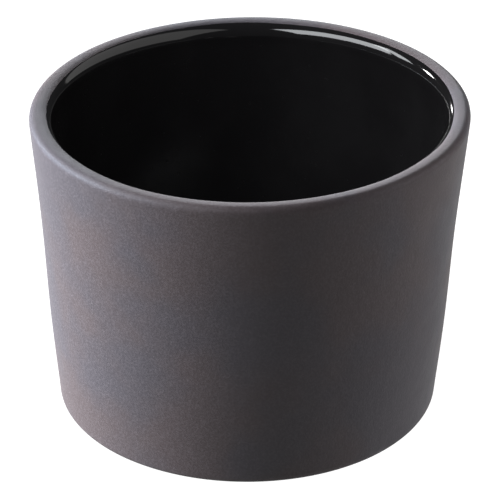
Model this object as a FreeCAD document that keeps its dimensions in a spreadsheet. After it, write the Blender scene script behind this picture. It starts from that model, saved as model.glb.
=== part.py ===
import FreeCAD, Part
import math
import os
import Sketcher

# A squat stoneware candle jar: a tapered clay body with a fully rounded lip and a turned foot ring,
# and the layer of glaze that lines its inside. Both are bodies of revolution about Z, with the origin
# at the centre of the foot and +Z up.

# The driving dimensions, in millimetres: alias, value and what it measures.
SIZES = [
    ("rim_diameter", 82.0, "outside of the wall, carried up to the rim plane"),
    ("foot_diameter", 73.2, "outside of the wall, carried down to the foot plane"),
    ("jar_height", 60.0, "foot plane to the crest of the lip"),
    ("wall_thickness", 4.3, "clay wall, square to its faces"),
    ("floor_height", 6.0, "foot plane to the top of the clay floor"),
    ("lip_outer_round", 1.3, "radius from the outside wall to the crest of the lip"),
    ("heel_round", 1.2, "radius between the outside wall and the foot"),
    ("floor_corner_round", 6.0, "radius of the clay between the inside wall and the floor"),
    ("foot_ring_width", 4.5, "from the outside wall at the foot in to the recess"),
    ("foot_recess_depth", 1.0, "height of the recess inside the foot ring"),
    ("foot_recess_run", 0.8, "how far in the sloping side of the recess leans"),
    ("foot_recess_round", 0.4, "radius on both edges of that side"),
    ("glaze_thickness", 0.3, "glaze on the wall and the floor"),
    ("glaze_edge_round", 0.2, "radius on the free edge of the glaze"),
    ("bare_lip_width", 2.8, "unglazed clay, from the rim diameter in to the glaze"),
]
SIZE = {alias: value for alias, value, _ in SIZES}

SHEET = "Sizes"
HALF = 0.5                           # a radius, from a diameter in the sheet
START, END, CENTRE = 1, 2, 3         # the points of a line or an arc in a sketch
ORIGIN = (-1, 1)                     # the sketch's origin point
FOOT_PLANE, JAR_AXIS = -1, -2        # the sketch's horizontal and vertical axes
CLOSE = 1e-3                         # how near an edge lies to the point that names it

# Where a sketch's curves start before the rules settle them: the same jar with an upright wall.
RIM_START = SIZE["rim_diameter"] * HALF
FOOT_START = SIZE["foot_diameter"] * HALF
INSIDE_RIM_START = RIM_START - SIZE["wall_thickness"]
INSIDE_FOOT_START = FOOT_START - SIZE["wall_thickness"]
CREST_START = RIM_START - SIZE["lip_outer_round"]
LIP_INNER_START = SIZE["wall_thickness"] - SIZE["lip_outer_round"]
GLAZE_LINE_START = 120               # degrees round the lip, anticlockwise from outward


def sizes_sheet(doc):
    """The spreadsheet: one row for each driving dimension, its value under its own alias."""
    sheet = doc.addObject("Spreadsheet::Sheet", SHEET)
    for row, (alias, value, meaning) in enumerate(SIZES, start=1):
        sheet.set(f"A{row}", alias)
        sheet.set(f"B{row}", str(value))
        sheet.set(f"C{row}", meaning)
        sheet.setAlias(f"B{row}", alias)
    doc.recompute()


class Section:
    """A half section of the jar, sketched on the body's own XZ plane: radius across, height up."""

    def __init__(self, body, name):
        self.sketch = body.newObject("Sketcher::SketchObject", name)
        plane = next(item for item in body.Origin.OriginFeatures if item.Role == "XZ_Plane")
        self.sketch.AttachmentSupport = (plane, [""])
        self.sketch.MapMode = "FlatFace"

    def line(self, start, end, construction=False):
        segment = Part.LineSegment(FreeCAD.Vector(*start), FreeCAD.Vector(*end))
        return self.sketch.addGeometry(segment, construction)

    def arc(self, centre, radius, first, last, construction=False):
        """An arc that runs anticlockwise from one angle to the other, in degrees."""
        circle = Part.Circle(FreeCAD.Vector(*centre), FreeCAD.Vector(0, 0, 1), radius)
        piece = Part.ArcOfCircle(circle, math.radians(first), math.radians(last))
        return self.sketch.addGeometry(piece, construction)

    def mark(self, place):
        """A construction point, for a corner that a round takes away."""
        return self.sketch.addGeometry(Part.Point(FreeCAD.Vector(*place)), True)

    def rule(self, kind, *where):
        return self.sketch.addConstraint(Sketcher.Constraint(kind, *where))

    def join(self, first, first_point, second, second_point):
        self.rule("Coincident", first, first_point, second, second_point)

    def smooth(self, first, first_point, second, second_point):
        """Join two ends so that the outline runs through them without a corner."""
        self.rule("Tangent", first, first_point, second, second_point)

    def size(self, alias, kind, *where, share=1):
        """A dimension that follows its cell in the sheet, or a share of it."""
        index = self.rule(kind, *where, SIZE[alias] * share)
        self.sketch.renameConstraint(index, alias)
        self.sketch.setExpression(f"Constraints.{alias}", f"{SHEET}.{alias} * {share}")

    def corner(self, curve, end):
        """Where a curve's end lies: its radius from the jar's axis and its height."""
        place = self.sketch.getPoint(curve, end)
        return place.x, place.y


def draw_outside(section, construction):
    """The tapered outside wall up to the crest of the lip. The marks carry its two diameters."""
    height = SIZE["jar_height"]
    lip = SIZE["lip_outer_round"]
    wall = section.line((FOOT_START, lip), (RIM_START, height - lip), construction)
    round_over = section.arc((CREST_START, height - lip), lip, 0, 90, construction)
    rim_mark = section.mark((RIM_START, height))
    foot_mark = section.mark((FOOT_START, 0))
    section.size("rim_diameter", "DistanceX", *ORIGIN, rim_mark, START, share=HALF)
    section.size("jar_height", "DistanceY", *ORIGIN, rim_mark, START)
    section.size("foot_diameter", "DistanceX", *ORIGIN, foot_mark, START, share=HALF)
    section.rule("PointOnObject", foot_mark, START, FOOT_PLANE)
    section.rule("PointOnObject", rim_mark, START, wall)
    section.rule("PointOnObject", foot_mark, START, wall)
    section.smooth(wall, END, round_over, START)
    section.size("lip_outer_round", "Radius", round_over)
    section.rule("Horizontal", round_over, END, rim_mark, START)
    section.rule("Vertical", round_over, CENTRE, round_over, END)
    return wall, round_over, rim_mark, foot_mark


def draw_inside(section, wall, round_over, rim_mark, bare_construction):
    """The clay's inside face: over the lip, down the wall, round the corner and in to the axis.

    The lip changes from bare to glazed part of the way round one arc. Its radius isn't a size:
    it is what the wall leaves beside the outer round, so the lip has no flat.
    """
    height = SIZE["jar_height"]
    floor_height = SIZE["floor_height"]
    corner_round = SIZE["floor_corner_round"]
    lip_centre = (CREST_START, height - LIP_INNER_START)
    bare_lip = section.arc(lip_centre, LIP_INNER_START, 90, GLAZE_LINE_START, bare_construction)
    glazed_lip = section.arc(lip_centre, LIP_INNER_START, GLAZE_LINE_START, 180)
    inner_wall = section.line(
        (INSIDE_RIM_START, height - LIP_INNER_START),
        (INSIDE_FOOT_START, floor_height + corner_round),
    )
    corner = section.arc(
        (INSIDE_FOOT_START - corner_round, floor_height + corner_round), corner_round, 270, 360
    )
    floor = section.line((INSIDE_FOOT_START - corner_round, floor_height), (0, floor_height))
    section.smooth(round_over, END, bare_lip, START)
    section.join(bare_lip, END, glazed_lip, START)
    section.join(bare_lip, CENTRE, glazed_lip, CENTRE)
    section.size("bare_lip_width", "DistanceX", glazed_lip, START, rim_mark, START)
    section.smooth(glazed_lip, END, inner_wall, START)
    section.rule("Parallel", wall, inner_wall)
    section.size("wall_thickness", "Distance", inner_wall, START, wall)
    section.smooth(inner_wall, END, corner, END)
    section.size("floor_corner_round", "Radius", corner)
    section.smooth(corner, START, floor, START)
    section.rule("Horizontal", floor)
    section.rule("PointOnObject", floor, END, JAR_AXIS)
    section.size("floor_height", "DistanceY", *ORIGIN, floor, END)
    return glazed_lip, inner_wall, corner, floor


def draw_foot(section, wall, foot_mark, floor):
    """The underside: the heel, the flat ring that the jar stands on, and the recess inside it."""
    heel_round = SIZE["heel_round"]
    depth = SIZE["foot_recess_depth"]
    ring_inside = FOOT_START - SIZE["foot_ring_width"]
    recess_inside = ring_inside - SIZE["foot_recess_run"]
    heel = section.arc((FOOT_START - heel_round, heel_round), heel_round, 270, 360)
    ring = section.line((FOOT_START - heel_round, 0), (ring_inside, 0))
    side = section.line((ring_inside, 0), (recess_inside, depth))
    roof = section.line((recess_inside, depth), (0, depth))
    axis = section.line((0, depth), (0, SIZE["floor_height"]))
    section.smooth(wall, START, heel, END)
    section.size("heel_round", "Radius", heel)
    section.smooth(heel, START, ring, START)
    section.rule("PointOnObject", ring, START, FOOT_PLANE)
    section.rule("PointOnObject", ring, END, FOOT_PLANE)
    section.size("foot_ring_width", "DistanceX", ring, END, foot_mark, START)
    section.join(ring, END, side, START)
    section.size("foot_recess_run", "DistanceX", side, END, side, START)
    section.join(side, END, roof, START)
    section.rule("Horizontal", roof)
    section.rule("PointOnObject", roof, END, JAR_AXIS)
    section.size("foot_recess_depth", "DistanceY", *ORIGIN, roof, END)
    section.join(roof, END, axis, START)
    section.join(axis, END, floor, END)
    return side


def draw_glaze_face(section, glazed_lip, inner_wall, corner, floor):
    """The glaze's free face, one thickness off the clay, and the square edge that starts it.

    The thickness is set on the floor, upwards, which leaves the face no way to settle in the clay.
    """
    coat = SIZE["glaze_thickness"]
    height = SIZE["jar_height"]
    floor_height = SIZE["floor_height"]
    corner_round = SIZE["floor_corner_round"]
    lip_round = LIP_INNER_START + coat
    lip_centre = (CREST_START, height - LIP_INNER_START)
    wall_foot = INSIDE_FOOT_START - coat
    edge_turn = math.radians(GLAZE_LINE_START)
    edge_start, edge_end = [
        (lip_centre[0] + reach * math.cos(edge_turn), lip_centre[1] + reach * math.sin(edge_turn))
        for reach in (LIP_INNER_START, lip_round)
    ]
    edge = section.line(edge_start, edge_end)
    lip = section.arc(lip_centre, lip_round, GLAZE_LINE_START, 180)
    wall = section.line(
        (INSIDE_RIM_START - coat, height - LIP_INNER_START), (wall_foot, floor_height + corner_round)
    )
    bend = section.arc(
        (INSIDE_FOOT_START - corner_round, floor_height + corner_round), corner_round - coat, 270, 360
    )
    bed = section.line(
        (INSIDE_FOOT_START - corner_round, floor_height + coat), (0, floor_height + coat)
    )
    axis = section.line((0, floor_height), (0, floor_height + coat))
    section.join(glazed_lip, START, edge, START)
    section.rule("PointOnObject", glazed_lip, CENTRE, edge)
    section.join(edge, END, lip, START)
    section.join(lip, CENTRE, glazed_lip, CENTRE)
    section.smooth(lip, END, wall, START)
    section.rule("Parallel", wall, inner_wall)
    section.smooth(wall, END, bend, END)
    section.join(bend, CENTRE, corner, CENTRE)
    section.smooth(bend, START, bed, START)
    section.rule("Horizontal", bed)
    section.join(bed, END, axis, END)
    section.join(axis, START, floor, END)
    section.rule("PointOnObject", axis, END, JAR_AXIS)
    section.size("glaze_thickness", "DistanceY", axis, START, axis, END)
    return edge


def turn(body, section, name):
    """Turn a half section through a full circle about the jar's axis."""
    solid = body.newObject("PartDesign::Revolution", name)
    solid.Profile = section.sketch
    solid.ReferenceAxis = (section.sketch, ["V_Axis"])
    solid.Angle = 360
    section.sketch.Visibility = False
    return solid


def round_rings(doc, body, feature, corners, alias, name):
    """Round the circular edges of a turned feature that pass through corners of its section."""
    doc.recompute()
    names = []
    for radius, height in corners:
        place = Part.Vertex(radius, 0, height)
        near = [
            f"Edge{number}"
            for number, edge in enumerate(feature.Shape.Edges, start=1)
            if edge.isClosed() and edge.distToShape(place)[0] < CLOSE
        ]
        if len(near) != 1:
            raise ValueError(f"{name}: {len(near)} ring edges at radius {radius}, height {height}")
        names += near
    fillet = body.newObject("PartDesign::Fillet", name)
    fillet.Base = (feature, names)
    fillet.setExpression("Radius", f"{SHEET}.{alias}")
    return fillet


def make_jar_body(doc):
    """The clay: one revolution, then rounds on the two edges of the foot recess."""
    body = doc.addObject("PartDesign::Body", "JarBody")
    body.Label = "jar_body"
    section = Section(body, "ClaySection")
    wall, round_over, rim_mark, foot_mark = draw_outside(section, construction=False)
    floor = draw_inside(section, wall, round_over, rim_mark, bare_construction=False)[-1]
    side = draw_foot(section, wall, foot_mark, floor)
    clay = turn(body, section, "TurnedClay")
    doc.recompute()
    edges = [section.corner(side, START), section.corner(side, END)]
    round_rings(doc, body, clay, edges, "foot_recess_round", "RecessRounds")
    return body


def make_glaze_lining(doc):
    """The glaze: a thin shell on the clay's inside face, with its free edge rounded."""
    body = doc.addObject("PartDesign::Body", "GlazeLining")
    body.Label = "glaze_lining"
    section = Section(body, "GlazeSection")
    wall, round_over, rim_mark, _ = draw_outside(section, construction=True)
    section.rule("PointOnObject", wall, START, FOOT_PLANE)
    inside = draw_inside(section, wall, round_over, rim_mark, bare_construction=True)
    edge = draw_glaze_face(section, *inside)
    glaze = turn(body, section, "TurnedGlaze")
    doc.recompute()
    round_rings(doc, body, glaze, [section.corner(edge, END)], "glaze_edge_round", "EdgeRound")
    return body


def check(doc, bodies):
    """Stop if any object failed to rebuild, a section is loose, or a body isn't one sound solid."""
    for item in doc.Objects:
        if {"Invalid", "Error"} & set(item.State):
            raise ValueError(f"{item.Label} failed to rebuild: {item.State}")
        if item.TypeId == "Sketcher::SketchObject" and not item.FullyConstrained:
            raise ValueError(f"{item.Label} isn't fully constrained")
    for body in bodies:
        shape = body.Shape
        if shape.isNull() or not shape.isValid() or len(shape.Solids) != 1:
            raise ValueError(f"{body.Label} isn't one sound solid")


def main():
    doc = FreeCAD.newDocument("CandleJar")
    sizes_sheet(doc)
    bodies = [make_jar_body(doc), make_glaze_lining(doc)]
    for body in bodies:
        body.Placement = FreeCAD.Placement()
    doc.recompute()
    check(doc, bodies)
    os.makedirs("parts", exist_ok=True)
    for body in bodies:
        body.Shape.exportStep(f"parts/{body.Label}.step")
        box = body.Shape.optimalBoundingBox(True, False)
        size = f"{box.XLength:.2f} x {box.YLength:.2f} x {box.ZLength:.2f} mm"
        print(f"{body.Label}: {size}, {body.Shape.Volume:.0f} mm3")


main()
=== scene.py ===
"""Looks of a squat stoneware candle jar: matte charcoal clay outside, glossy black glaze inside."""
import math
import bpy
from mathutils import Matrix, Vector, noise


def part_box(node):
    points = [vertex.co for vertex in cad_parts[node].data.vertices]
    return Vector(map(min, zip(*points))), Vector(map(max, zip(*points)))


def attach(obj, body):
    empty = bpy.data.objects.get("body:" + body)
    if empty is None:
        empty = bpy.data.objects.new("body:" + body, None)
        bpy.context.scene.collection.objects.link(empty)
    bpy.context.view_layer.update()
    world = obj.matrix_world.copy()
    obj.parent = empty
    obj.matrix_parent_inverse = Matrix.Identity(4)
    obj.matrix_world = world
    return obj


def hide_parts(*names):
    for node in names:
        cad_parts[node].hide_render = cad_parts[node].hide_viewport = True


bl_info = {
    "name": "Stoneware Candle Jar",
    "version": (1, 0, 0),
    "blender": (4, 5, 0),
    "location": "3D View > Sidebar > Candle Jar",
    "description": "Turns the clay jar and its glaze around the packed frame and sets the studio",
    "category": "Object",
}

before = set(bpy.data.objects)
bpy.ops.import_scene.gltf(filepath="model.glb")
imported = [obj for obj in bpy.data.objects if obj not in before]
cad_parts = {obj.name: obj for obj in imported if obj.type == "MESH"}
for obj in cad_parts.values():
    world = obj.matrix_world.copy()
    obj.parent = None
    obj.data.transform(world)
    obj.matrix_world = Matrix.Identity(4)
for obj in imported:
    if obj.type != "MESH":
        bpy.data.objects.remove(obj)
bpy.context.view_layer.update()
BODY = "root"
CLAY_NODE = "jar_body"
GLAZE_NODE = "glaze_lining"

MM = 0.001
FULL_TURN = 2 * math.pi
QUARTER_TURN = math.pi / 2
LOW_SPOT = math.radians(-135)
CLAY_PIECE = "clay_jar"
GLAZE_PIECE = "glaze_lining_coat"
TURN_STEPS = 480

# How the jar settled in the kiln: its wall's slow wave, and the rim's shift and tilt to the right.
WAVE_DEPTH = 0.15 * MM
WAVE_SHARE = 0.7
FOOT_SHRINK = 0.15 * MM
RIM_SHIFT = 0.53 * MM
RIM_TILT = 0.0074

# The fired glaze's edge: how far it lies in the clay, and how far up the lip that hidden part reaches.
EDGE_UNDER = 0.02 * MM
EDGE_TUCK = 0.07
EDGE_STEPS = 30

# The camera's lens and sensor in millimetres, its distance, and the point that it looks at.
LENS = 216.0
SENSOR = 36.0
CAMERA_DISTANCE = 0.5723
AIM_RIGHT = 0.54 * MM
AIM_HEIGHT = 0.4907


# Sizes read from the frame, in metres.

def outside_rings():
    """The widest ring of the clay and the widest ring of its lower half, each as (radius, height)."""
    rings = [(math.hypot(v.co.x, v.co.y), v.co.z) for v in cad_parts[CLAY_NODE].data.vertices]
    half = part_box(CLAY_NODE)[1].z / 2
    return max(rings), max(ring for ring in rings if ring[1] < half)


UPPER_RING, LOWER_RING = outside_rings()
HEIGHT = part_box(CLAY_NODE)[1].z
CLAY_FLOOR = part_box(GLAZE_NODE)[0].z
GLAZE_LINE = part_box(GLAZE_NODE)[1].x
LEAN = (UPPER_RING[0] - LOWER_RING[0]) / (UPPER_RING[1] - LOWER_RING[1])
TAPER = math.atan(LEAN)
RIM_RADIUS = UPPER_RING[0] + (HEIGHT - UPPER_RING[1]) * LEAN
FOOT_RADIUS = LOWER_RING[0] - LOWER_RING[1] * LEAN


def length(name, description, default, most):
    """A size in metres that shows as a length in the sidebar."""
    return bpy.props.FloatProperty(
        name=name, description=description, default=default, min=0.0, max=most,
        subtype="DISTANCE", unit="LENGTH", precision=5,
    )


def colour(name, description, default):
    return bpy.props.FloatVectorProperty(
        name=name, description=description, default=default, min=0.0, max=1.0, size=3, subtype="COLOR",
    )


def amount(name, description, default, most=1.0):
    """A plain number, shown as a slider where it is a share of one."""
    return bpy.props.FloatProperty(
        name=name, description=description, default=default, min=0.0, max=most,
        subtype="FACTOR" if most == 1.0 else "NONE",
    )


def angle(name, description, default):
    return bpy.props.FloatProperty(name=name, description=description, default=default, subtype="ANGLE")


class ClaySettings(bpy.types.PropertyGroup):
    """Sizes and colours of the clay."""

    wall: length("Wall", "Clay wall, square to its faces", 4.3 * MM, 10 * MM)
    lip_outer_round: length("Outer lip round", "Radius outside the crest of the lip", 1.3 * MM, 3 * MM)
    lip_inner_depth: length("Inner lip depth", "How far down the inside the lip curves", 3.7 * MM, 8 * MM)
    lip_fullness: amount("Lip fullness", "How square the inner lip is, where 2 is an ellipse", 2.7, 6.0)
    heel_round: length("Heel round", "Radius between the wall and the foot", 1.2 * MM, 4 * MM)
    corner_round: length("Corner round", "Radius between the inside wall and the floor", 6 * MM, 12 * MM)
    foot_ring: length("Foot ring", "Width from the outside wall to the recess", 4.5 * MM, 10 * MM)
    foot_recess: length("Foot recess", "Height of the recess under the floor", 1 * MM, 3 * MM)
    unevenness: length("Unevenness", "How far the wall wanders from true", 0.07 * MM, 1 * MM)
    tooth: length("Tooth", "Depth of the grain that a finger feels", 0.012 * MM, 0.2 * MM)
    warm_tone: colour("Warm tone", "Iron-brown part of the clay", (0.0113, 0.0087, 0.0087))
    cool_tone: colour("Cool tone", "Slate-grey part of the clay", (0.0097, 0.0085, 0.0094))
    grog_tone: colour("Grog tone", "Pale specks in the clay", (0.040, 0.035, 0.037))
    roughness: amount("Roughness", "Roughness of the dry clay", 0.56)


class GlazeSettings(bpy.types.PropertyGroup):
    """Sizes and colours of the glaze."""

    coat: length("Coat", "Thickness on the wall", 0.3 * MM, 1 * MM)
    pool: length("Pool", "Extra thickness where it ran into the corner", 0.5 * MM, 2 * MM)
    edge_wave: length("Edge wave", "How far the glaze line wanders on the lip", 0.12 * MM, 1 * MM)
    edge_setback: length("Edge setback", "How far inside the drawn line the glaze stops", 0.35 * MM, 2 * MM)
    edge_dip: length("Edge dip", "How much lower the glaze line sits at the front left", 0.45 * MM, 2 * MM)
    tone: colour("Tone", "Body colour of the glaze", (0.0075, 0.0070, 0.0075))
    cloud_tone: colour("Cloud tone", "Faint clouds in the glaze", (0.0095, 0.0090, 0.0095))
    roughness: amount("Roughness", "Roughness of the fired glaze", 0.07)


class StudioSettings(bpy.types.PropertyGroup):
    """The floor, the lights and the camera."""

    floor_tone: colour("Floor", "Pale floor", (0.25, 0.25, 0.25))
    floor_glow: amount("Floor glow", "Light that comes through the floor, as on a light table", 1.0, 4.0)
    key: amount("Key", "Radiance of the soft boxes on the left", 7.0, 100.0)
    fill: amount("Fill", "Radiance of the card on the right", 0.7, 20.0)
    back: amount("Back", "Radiance of the soft box behind", 9.0, 100.0)
    left_wash: amount("Left wash", "Radiance of the matte wash from the left", 475.0, 1000.0)
    right_wash: amount("Right wash", "Radiance of the matte wash from the right", 75.0, 1000.0)
    sheen: amount("Sheen", "Radiance of the soft box that glances off the lip", 52.0, 200.0)
    spark: amount("Spark", "Radiance of the small lamp behind on the left", 40.0, 200.0)
    room: amount("Room", "Light of the room", 0.05, 2.0)
    camera_elevation: angle("Elevation", "How far the camera looks down", math.radians(28.7))


# Material nodes written as expressions.

class Flow:
    """One output of a recipe's node tree. Arithmetic on it adds Math nodes."""

    def __init__(self, recipe, socket):
        self.recipe = recipe
        self.socket = socket

    def math(self, operation, *others):
        values = dict(enumerate((self, *others)))
        return self.recipe.node("ShaderNodeMath", {"operation": operation}, values)

    def __add__(self, other):
        return self.math("ADD", other)

    __radd__ = __add__

    def __sub__(self, other):
        return self.math("SUBTRACT", other)

    def __rsub__(self, other):
        return (self * -1.0) + other

    def __mul__(self, other):
        return self.math("MULTIPLY", other)

    __rmul__ = __mul__

    def between(self, low, high):
        """0 where the value is low, 1 where it is high, and a soft step from one to the other."""
        values = {"Value": self, "From Min": low, "From Max": high}
        return self.recipe.node("ShaderNodeMapRange", {"interpolation_type": "SMOOTHSTEP"}, values)


class Recipe:
    """A material and its node tree."""

    def __init__(self, name):
        self.material = bpy.data.materials.new(name)
        self.material.use_nodes = True
        self.tree = self.material.node_tree
        self.tree.nodes.clear()
        self.place = self.node("ShaderNodeTexCoord", output="Object")

    def node(self, kind, settings=None, values=None, output=0):
        """Any node: its type, its settings, then a value or a link for each socket."""
        made = self.tree.nodes.new(kind)
        for key, value in (settings or {}).items():
            setattr(made, key, value)
        for key, value in (values or {}).items():
            if isinstance(value, Flow):
                self.tree.links.new(value.socket, made.inputs[key])
            else:
                made.inputs[key].default_value = value
        return Flow(self, made.outputs[output])

    def stretched(self, factors):
        """The place on the object, scaled by its own factor along X, Y and Z."""
        settings = {"operation": "MULTIPLY"}
        return self.node("ShaderNodeVectorMath", settings, {0: self.place, 1: factors})

    def cloud(self, grain, detail=2.0, place=None, roughness=0.5):
        """Noise of about one blot for each grain, a length in metres."""
        values = {
            "Vector": place or self.place, "Scale": 1 / grain, "Detail": detail, "Roughness": roughness,
        }
        return self.node("ShaderNodeTexNoise", {"noise_dimensions": "3D"}, values)

    def blend(self, factor, first, second):
        """Two colours mixed by a factor."""
        settings = {"data_type": "RGBA", "clamp_factor": True}
        return self.node("ShaderNodeMix", settings, {0: factor, 6: first, 7: second}, output=2)

    def bump(self, height, distance):
        values = {"Height": height, "Distance": distance, "Strength": 1.0}
        return self.node("ShaderNodeBump", None, values)

    def finish(self, values):
        """A Principled surface with these sockets, as the material's output."""
        surface = self.node("ShaderNodeBsdfPrincipled", None, values)
        end = self.tree.nodes.new("ShaderNodeOutputMaterial")
        self.tree.links.new(surface.socket, end.inputs["Surface"])
        return self.material


def rgba(tone):
    return (*tone, 1.0)


def clay_material(clay):
    """Dry charcoal stoneware: warm and cool blotches, fine grain, pale grog and a rubbed heel."""
    recipe = Recipe("charcoal_clay")
    blotches = recipe.cloud(22 * MM, detail=3.0).between(0.38, 0.62)
    freckles = recipe.cloud(0.55 * MM, detail=1.0).between(0.60, 0.78)
    grain = recipe.cloud(0.42 * MM, detail=2.0)
    strokes_per_metre = (1400.0, 1400.0, 110.0)
    strokes = recipe.cloud(1.0, detail=2.0, place=recipe.stretched(strokes_per_metre))
    height = recipe.node("ShaderNodeSeparateXYZ", None, {0: recipe.place}, output="Z")
    rubbed = (1.0 - height.between(0.3 * MM, 2.6 * MM)) * recipe.cloud(3 * MM, detail=3.0).between(0.45, 0.7)
    body = recipe.blend(blotches, rgba(clay.warm_tone), rgba(clay.cool_tone))
    speckled = recipe.blend(freckles * 0.07 + grain.between(0.35, 0.75) * 0.13, body, rgba(clay.grog_tone))
    worn = recipe.blend(rubbed * 0.12, speckled, rgba(clay.grog_tone))
    relief = grain + strokes * 0.3 + recipe.cloud(2.4 * MM, detail=2.0) * 0.8
    return recipe.finish({
        "Base Color": worn,
        "Roughness": recipe.cloud(5 * MM, detail=3.0) * 0.10 + (clay.roughness - 0.05) - rubbed * 0.12,
        "Specular IOR Level": 0.12,
        "Normal": recipe.bump(relief, 0.025 * MM),
    })


def glaze_material(glaze):
    """Black glaze fired to a gloss, with the faint ripple that it froze with."""
    recipe = Recipe("black_glaze")
    ripple = recipe.cloud(5 * MM, detail=1.0)
    clouding = recipe.cloud(14 * MM, detail=3.0)
    pits = recipe.cloud(1.1 * MM, detail=1.0).between(0.72, 0.80)
    height = recipe.node("ShaderNodeSeparateXYZ", None, {0: recipe.place}, output="Z")
    deep = 1.0 - height.between(HEIGHT * 0.93, HEIGHT * 0.965)
    return recipe.finish({
        "Base Color": recipe.blend(clouding.between(0.35, 0.65), rgba(glaze.tone), rgba(glaze.cloud_tone)),
        "Roughness": clouding * 0.05 + pits * 0.1 + deep * 0.14 + (glaze.roughness - 0.025),
        "IOR": 1.6,
        "Normal": recipe.bump(ripple + pits * -0.15, 0.02 * MM),
    })


def floor_material(studio):
    """A pale matte floor."""
    recipe = Recipe("pale_floor")
    shade = tuple(channel * 0.985 for channel in studio.floor_tone)
    return recipe.finish({
        "Base Color": recipe.blend(recipe.cloud(0.35, detail=2.0), rgba(shade), rgba(studio.floor_tone)),
        "Roughness": 0.9,
        "Specular IOR Level": 0.0,
        "Emission Color": (1.0, 1.0, 1.0, 1.0),
        "Emission Strength": studio.floor_glow,
    })


# Outlines: lists of (radius, height) from the axis, round the piece and back to the axis.

def arc(centre, radii, first, last, steps):
    """Points along part of an ellipse, from one angle to the other, ends included."""
    turns = [first + (last - first) * step / steps for step in range(steps + 1)]
    return [(centre[0] + radii[0] * math.cos(t), centre[1] + radii[1] * math.sin(t)) for t in turns]


def run(start, end, steps):
    """Points between two ends, without the ends."""
    return [
        tuple(a + (b - a) * step / steps for a, b in zip(start, end)) for step in range(1, steps)
    ]


def outside_radius(height):
    return FOOT_RADIUS + height * LEAN


def clay_inside_radius(clay, height):
    return outside_radius(height) - clay.wall / math.cos(TAPER)


def crest_radius(clay):
    """Where the lip is highest: above the centre of its outer round."""
    return outside_radius(HEIGHT - clay.lip_outer_round) - clay.lip_outer_round / math.cos(TAPER)


def lip_inside(clay, offset):
    """Centre and radii of the curve over the inner lip, this far off the clay."""
    crest = crest_radius(clay)
    down = HEIGHT - clay.lip_inner_depth
    reach = crest - clay_inside_radius(clay, down)
    return (crest, down), (reach + offset, clay.lip_inner_depth + offset)


def lip_end(clay):
    """The angle at which the inner lip runs into the wall without a crease."""
    reach, depth = lip_inside(clay, 0.0)[1]
    fullness = clay.lip_fullness
    return math.pi - math.atan((LEAN * depth / reach) ** (fullness / (2 * fullness - 2)))


def lip_curve(clay, offset, first, last, steps):
    """Points on the inner lip, which is flatter on top than an ellipse and turns down more quickly."""
    centre, radii = lip_inside(clay, offset)
    power = 2 / clay.lip_fullness
    return [
        (
            centre[0] + radii[0] * math.copysign(abs(across) ** power, across),
            centre[1] + radii[1] * math.copysign(abs(up) ** power, up),
        )
        for across, up in arc((0.0, 0.0), (1.0, 1.0), first, last, steps)
    ]


def bowl(clay, offset, lift, top, steps):
    """The inside face from the end of the lip down to the axis, this far off the clay."""
    corner = clay.corner_round
    centre_height = CLAY_FLOOR + corner
    centre = (clay_inside_radius(clay, centre_height) - corner / math.cos(TAPER), centre_height)
    bend = arc(centre, (corner - offset, corner - offset - lift), -TAPER, -QUARTER_TURN, 14)
    side = run(top, bend[0], steps)
    return side + bend + run(bend[-1], (0.0, bend[-1][1]), 10)


def clay_outline(clay):
    """From the recess out over the foot, up the wall, over the lip and down into the bowl."""
    ring_inside = FOOT_RADIUS - clay.foot_ring
    recess_slope = clay.foot_recess * 0.8
    roof = (ring_inside - recess_slope, clay.foot_recess)
    heel_centre = (outside_radius(clay.heel_round) - clay.heel_round / math.cos(TAPER), clay.heel_round)
    heel = arc(heel_centre, (clay.heel_round,) * 2, -QUARTER_TURN, -TAPER, 8)
    ring_edge = 0.25 * MM
    foot = [(ring_inside - ring_edge * 0.6, ring_edge * 0.7), (ring_inside + ring_edge, 0.0)]
    crest_centre = (crest_radius(clay), HEIGHT - clay.lip_outer_round)
    round_over = arc(crest_centre, (clay.lip_outer_round,) * 2, -TAPER, QUARTER_TURN, 12)
    lip = lip_curve(clay, 0.0, QUARTER_TURN, lip_end(clay), 36)
    return (
        run((0.0, clay.foot_recess), roof, 12) + [roof] + foot + run(foot[-1], heel[0], 4) + heel
        + run(heel[-1], round_over[0], 90) + round_over + lip[1:]
        + bowl(clay, 0.0, 0.0, lip[-1], 24)
    )


def glaze_outline(clay, glaze, start):
    """From under the glazed floor up the clay's face to the lip, round the thin edge and back down."""
    start -= EDGE_TUCK
    back = lip_curve(clay, -3 * EDGE_UNDER, start, lip_end(clay), 18)
    hidden = back + bowl(clay, -EDGE_UNDER, 0.0, back[-1], 30)
    face = []
    for step in range(EDGE_STEPS + 1):
        share = step / EDGE_STEPS
        turn = start + (lip_end(clay) - start) * share
        face += lip_curve(clay, (glaze.coat + EDGE_UNDER) * share - EDGE_UNDER, turn, turn, 1)[:1]
    bead_middle = tuple((a + b) / 2 for a, b in zip(back[0], face[0]))
    across = math.atan2(face[0][1] - back[0][1], face[0][0] - back[0][0])
    bead_reach = math.dist(back[0], face[0]) / 2
    bead = arc(bead_middle, (bead_reach,) * 2, across + math.pi, across, 8)[1:-1]
    shown = face + bowl(clay, glaze.coat, glaze.pool, face[-1], 60)
    return hidden[::-1][1:] + bead + shown[:-1]


# Meshes.

def settle(point):
    """The jar's own lean and the slow wave that throwing left in its wall, the same for clay and glaze."""
    share = point.z / HEIGHT
    wave = WAVE_DEPTH * math.cos(FULL_TURN * (1 - share) / WAVE_SHARE) - FOOT_SHRINK * (1 - share)
    sway = 1 + wave / RIM_RADIUS
    lean = Vector((RIM_SHIFT * share, 0.0, RIM_TILT * point.x * share))
    return Vector((point.x * sway, point.y * sway, point.z)) + lean


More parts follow.
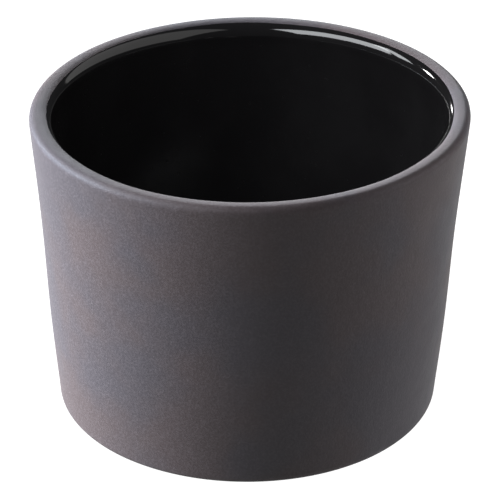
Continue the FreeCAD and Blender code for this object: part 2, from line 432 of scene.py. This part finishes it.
def lathe(name, outline, steps, detail):
    """Turn an outline about Z into a closed mesh. The outline may change with the turn."""
    rings = [outline(FULL_TURN * step / steps) for step in range(steps)]
    count = len(rings[0])
    points = []
    for step, ring in enumerate(rings):
        turn = FULL_TURN * step / steps
        for radius, height in ring:
            place = Vector((radius * math.cos(turn), radius * math.sin(turn), height))
            points.append(settle(detail(place)))
    ends = len(points)
    points.append(settle(Vector((0.0, 0.0, rings[0][0][1]))))
    points.append(settle(Vector((0.0, 0.0, rings[0][-1][1]))))
    faces = []
    for step in range(steps):
        here = step * count
        there = (step + 1) % steps * count
        faces.append((ends, there, here))
        faces += [(here + k, there + k, there + k + 1, here + k + 1) for k in range(count - 1)]
        faces.append((ends + 1, here + count - 1, there + count - 1))
    mesh = bpy.data.meshes.new(name)
    mesh.from_pydata(points, [], faces)
    mesh.polygons.foreach_set("use_smooth", [True] * len(mesh.polygons))
    mesh.update()
    piece = bpy.data.objects.new(name, mesh)
    bpy.context.scene.collection.objects.link(piece)
    return piece


def outward(place):
    """Straight out from the axis, level."""
    flat = Vector((place.x, place.y, 0.0))
    return flat.normalized() if flat.length > 0 else flat


def belong(piece, node, material):
    """Give a finished piece its finish, put it under its body and hide the CAD node that it stands for."""
    piece.data.materials.append(material)
    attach(piece, BODY)
    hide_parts(node)


class JAR_OT_throw_clay(bpy.types.Operator):
    """Turn the clay body and give it its dry charcoal surface"""

    bl_idname = "jar.throw_clay"
    bl_label = "Throw Clay"

    def execute(self, context):
        clay = context.scene.jar_clay
        outline = clay_outline(clay)[1:]

        def detail(place):
            """Hand-finished unevenness on the outside, with a little tooth in it."""
            slow = noise.noise(place / (16 * MM)) * clay.unevenness
            quick = noise.noise(place / (1.5 * MM)) * clay.tooth
            return place + outward(place) * (slow + quick) * min(1.0, place.z / (2 * MM))

        piece = lathe(CLAY_PIECE, lambda turn: outline, TURN_STEPS, detail)
        belong(piece, CLAY_NODE, clay_material(clay))
        return {"FINISHED"}


class JAR_OT_pour_glaze(bpy.types.Operator):
    """Line the inside with glaze, up to a wandering line on the lip"""

    bl_idname = "jar.pour_glaze"
    bl_label = "Pour Glaze"

    def execute(self, context):
        clay = context.scene.jar_clay
        glaze = context.scene.jar_glaze
        lip_centre, lip_radii = lip_inside(clay, 0.0)
        across = (lip_centre[0] - GLAZE_LINE + glaze.edge_setback) / lip_radii[0]
        start = math.pi - math.acos(across ** (clay.lip_fullness / 2))

        def outline(turn):
            round_lip = Vector((math.cos(turn), math.sin(turn), 0.0))
            wander = noise.noise(round_lip * 3.0) + noise.noise(round_lip * 24.0) * 0.3
            low_spot = max(0.0, math.cos(turn - LOW_SPOT)) ** 2
            fall = wander * glaze.edge_wave + low_spot * glaze.edge_dip
            return glaze_outline(clay, glaze, start + fall / lip_radii[1])

        def detail(place):
            """A slow swell in the thickness of the coat."""
            return place + outward(place) * noise.noise(place / (12 * MM)) * 0.03 * MM

        piece = lathe(GLAZE_PIECE, outline, TURN_STEPS, detail)
        belong(piece, GLAZE_NODE, glaze_material(glaze))
        return {"FINISHED"}


# The studio.

def toward(azimuth, elevation):
    """A direction from the jar: azimuth 0 is the camera's side and grows to the right."""
    level = math.cos(elevation)
    return Vector((level * math.sin(azimuth), -level * math.cos(azimuth), math.sin(elevation)))


def soft_box(name, azimuth, spread, low, high, radiance, tone, only=None, mirrored=True):
    """A flat rectangular light that faces the lip, given by the angles that its edges reach."""
    distance = 1.2
    azimuth, spread, low, high = (math.radians(value) for value in (azimuth, spread, low, high))
    middle = (low + high) / 2
    way = toward(azimuth, middle)
    data = bpy.data.lights.new(name, "AREA")
    data.shape = "RECTANGLE"
    data.size = 2 * distance * math.cos(middle) * math.tan(spread / 2)
    data.size_y = 2 * distance * math.tan((high - low) / 2)
    data.energy = radiance * math.pi * data.size * data.size_y
    data.color = tone
    lamp = bpy.data.objects.new(name, data)
    lamp.location = Vector((0.0, 0.0, HEIGHT)) + way * distance
    lamp.rotation_euler = way.to_track_quat("Z", "Y").to_euler()
    lamp.visible_camera = False
    lamp.visible_glossy = mirrored
    lamp.light_linking.receiver_collection = only
    bpy.context.scene.collection.objects.link(lamp)


def put_camera(studio):
    """A long lens that looks down at the jar, turned to the jar's front."""
    target = Vector((AIM_RIGHT, 0.0, HEIGHT * AIM_HEIGHT))
    back = toward(0.0, studio.camera_elevation)
    across = Vector((1.0, 0.0, 0.0))
    axes = Matrix((across, back.cross(across), back)).transposed()
    data = bpy.data.cameras.new("jar_camera")
    data.lens = LENS
    data.sensor_width = SENSOR
    data.clip_start = 0.01
    camera = bpy.data.objects.new("jar_camera", data)
    camera.matrix_world = Matrix.Translation(target + back * CAMERA_DISTANCE) @ axes.to_4x4()
    bpy.context.scene.collection.objects.link(camera)
    bpy.context.scene.camera = camera


def lay_floor(studio):
    bpy.ops.mesh.primitive_plane_add(size=8.0, location=(0.0, 0.0, -0.02 * MM))
    floor = bpy.context.object
    floor.name = "studio_floor"
    floor.data.materials.append(floor_material(studio))


def hang_lights(studio):
    """Soft boxes for the whole jar, and low ones that reach only the clay. Angles are in degrees."""
    daylight = (0.94, 0.97, 1.0)
    neutral = (1.0, 0.99, 0.98)
    lilac = (0.90, 0.94, 1.0)
    sky = (0.72, 0.84, 1.0)
    clay_only = bpy.data.collections.new("clay_only")
    clay_only.objects.link(bpy.data.objects[CLAY_PIECE])
    soft_box("left_soft_box", -62.0, 76.0, 29.0, 58.0, studio.key, daylight)
    soft_box("side_soft_box", -108.0, 16.0, 27.0, 50.0, studio.key, daylight)
    soft_box("right_card", 85.0, 110.0, 18.0, 72.0, studio.fill, neutral)
    soft_box("back_soft_box", 180.0, 30.0, 4.0, 34.0, studio.back, lilac, clay_only)
    soft_box("left_wash", -103.0, 60.0, 6.0, 18.0, studio.left_wash, lilac, clay_only, mirrored=False)
    soft_box("lip_box", -97.0, 60.0, 8.0, 26.0, studio.sheen, sky, clay_only)
    soft_box("right_wash", 100.0, 60.0, 4.0, 18.0, studio.right_wash, lilac, clay_only, mirrored=False)
    soft_box("back_spark", -133.0, 7.5, 24.5, 31.0, studio.spark, neutral)
    soft_box("edge_spark", -160.0, 4.0, 12.0, 15.0, studio.spark, neutral)


def dim_room(studio):
    """A little even light from everywhere."""
    world = bpy.data.worlds.new("dim_room")
    world.use_nodes = True
    background = world.node_tree.nodes["Background"]
    background.inputs["Color"].default_value = (0.95, 0.97, 1.0, 1.0)
    background.inputs["Strength"].default_value = studio.room
    bpy.context.scene.world = world
    bpy.context.scene.view_settings.view_transform = "Standard"


class JAR_OT_set_studio(bpy.types.Operator):
    """Lay the pale floor, hang the soft lights and place the camera"""

    bl_idname = "jar.set_studio"
    bl_label = "Set Studio"

    def execute(self, context):
        studio = context.scene.jar_studio
        lay_floor(studio)
        hang_lights(studio)
        dim_room(studio)
        put_camera(studio)
        return {"FINISHED"}


class JAR_PT_sidebar(bpy.types.Panel):
    """The jar's sizes, colours and steps in the 3D view's sidebar"""

    bl_idname = "JAR_PT_sidebar"
    bl_label = "Candle Jar"
    bl_space_type = "VIEW_3D"
    bl_region_type = "UI"
    bl_category = "Candle Jar"

    def draw(self, context):
        for title, group, operator in STEPS:
            box = self.layout.box()
            box.label(text=title)
            settings = getattr(context.scene, group)
            for name in settings.__annotations__:
                box.prop(settings, name)
            box.operator(operator)


STEPS = [
    ("Clay", "jar_clay", "jar.throw_clay"),
    ("Glaze", "jar_glaze", "jar.pour_glaze"),
    ("Studio", "jar_studio", "jar.set_studio"),
]
GROUPS = {"jar_clay": ClaySettings, "jar_glaze": GlazeSettings, "jar_studio": StudioSettings}
CLASSES = [*GROUPS.values(), JAR_OT_throw_clay, JAR_OT_pour_glaze, JAR_OT_set_studio, JAR_PT_sidebar]


def register():
    for cls in CLASSES:
        bpy.utils.register_class(cls)
    for name, group in GROUPS.items():
        setattr(bpy.types.Scene, name, bpy.props.PointerProperty(type=group))


def unregister():
    for name in GROUPS:
        delattr(bpy.types.Scene, name)
    for cls in reversed(CLASSES):
        bpy.utils.unregister_class(cls)


def main():
    register()
    bpy.ops.jar.throw_clay()
    bpy.ops.jar.pour_glaze()
    bpy.ops.jar.set_studio()


if __name__ == "__main__":
    main()
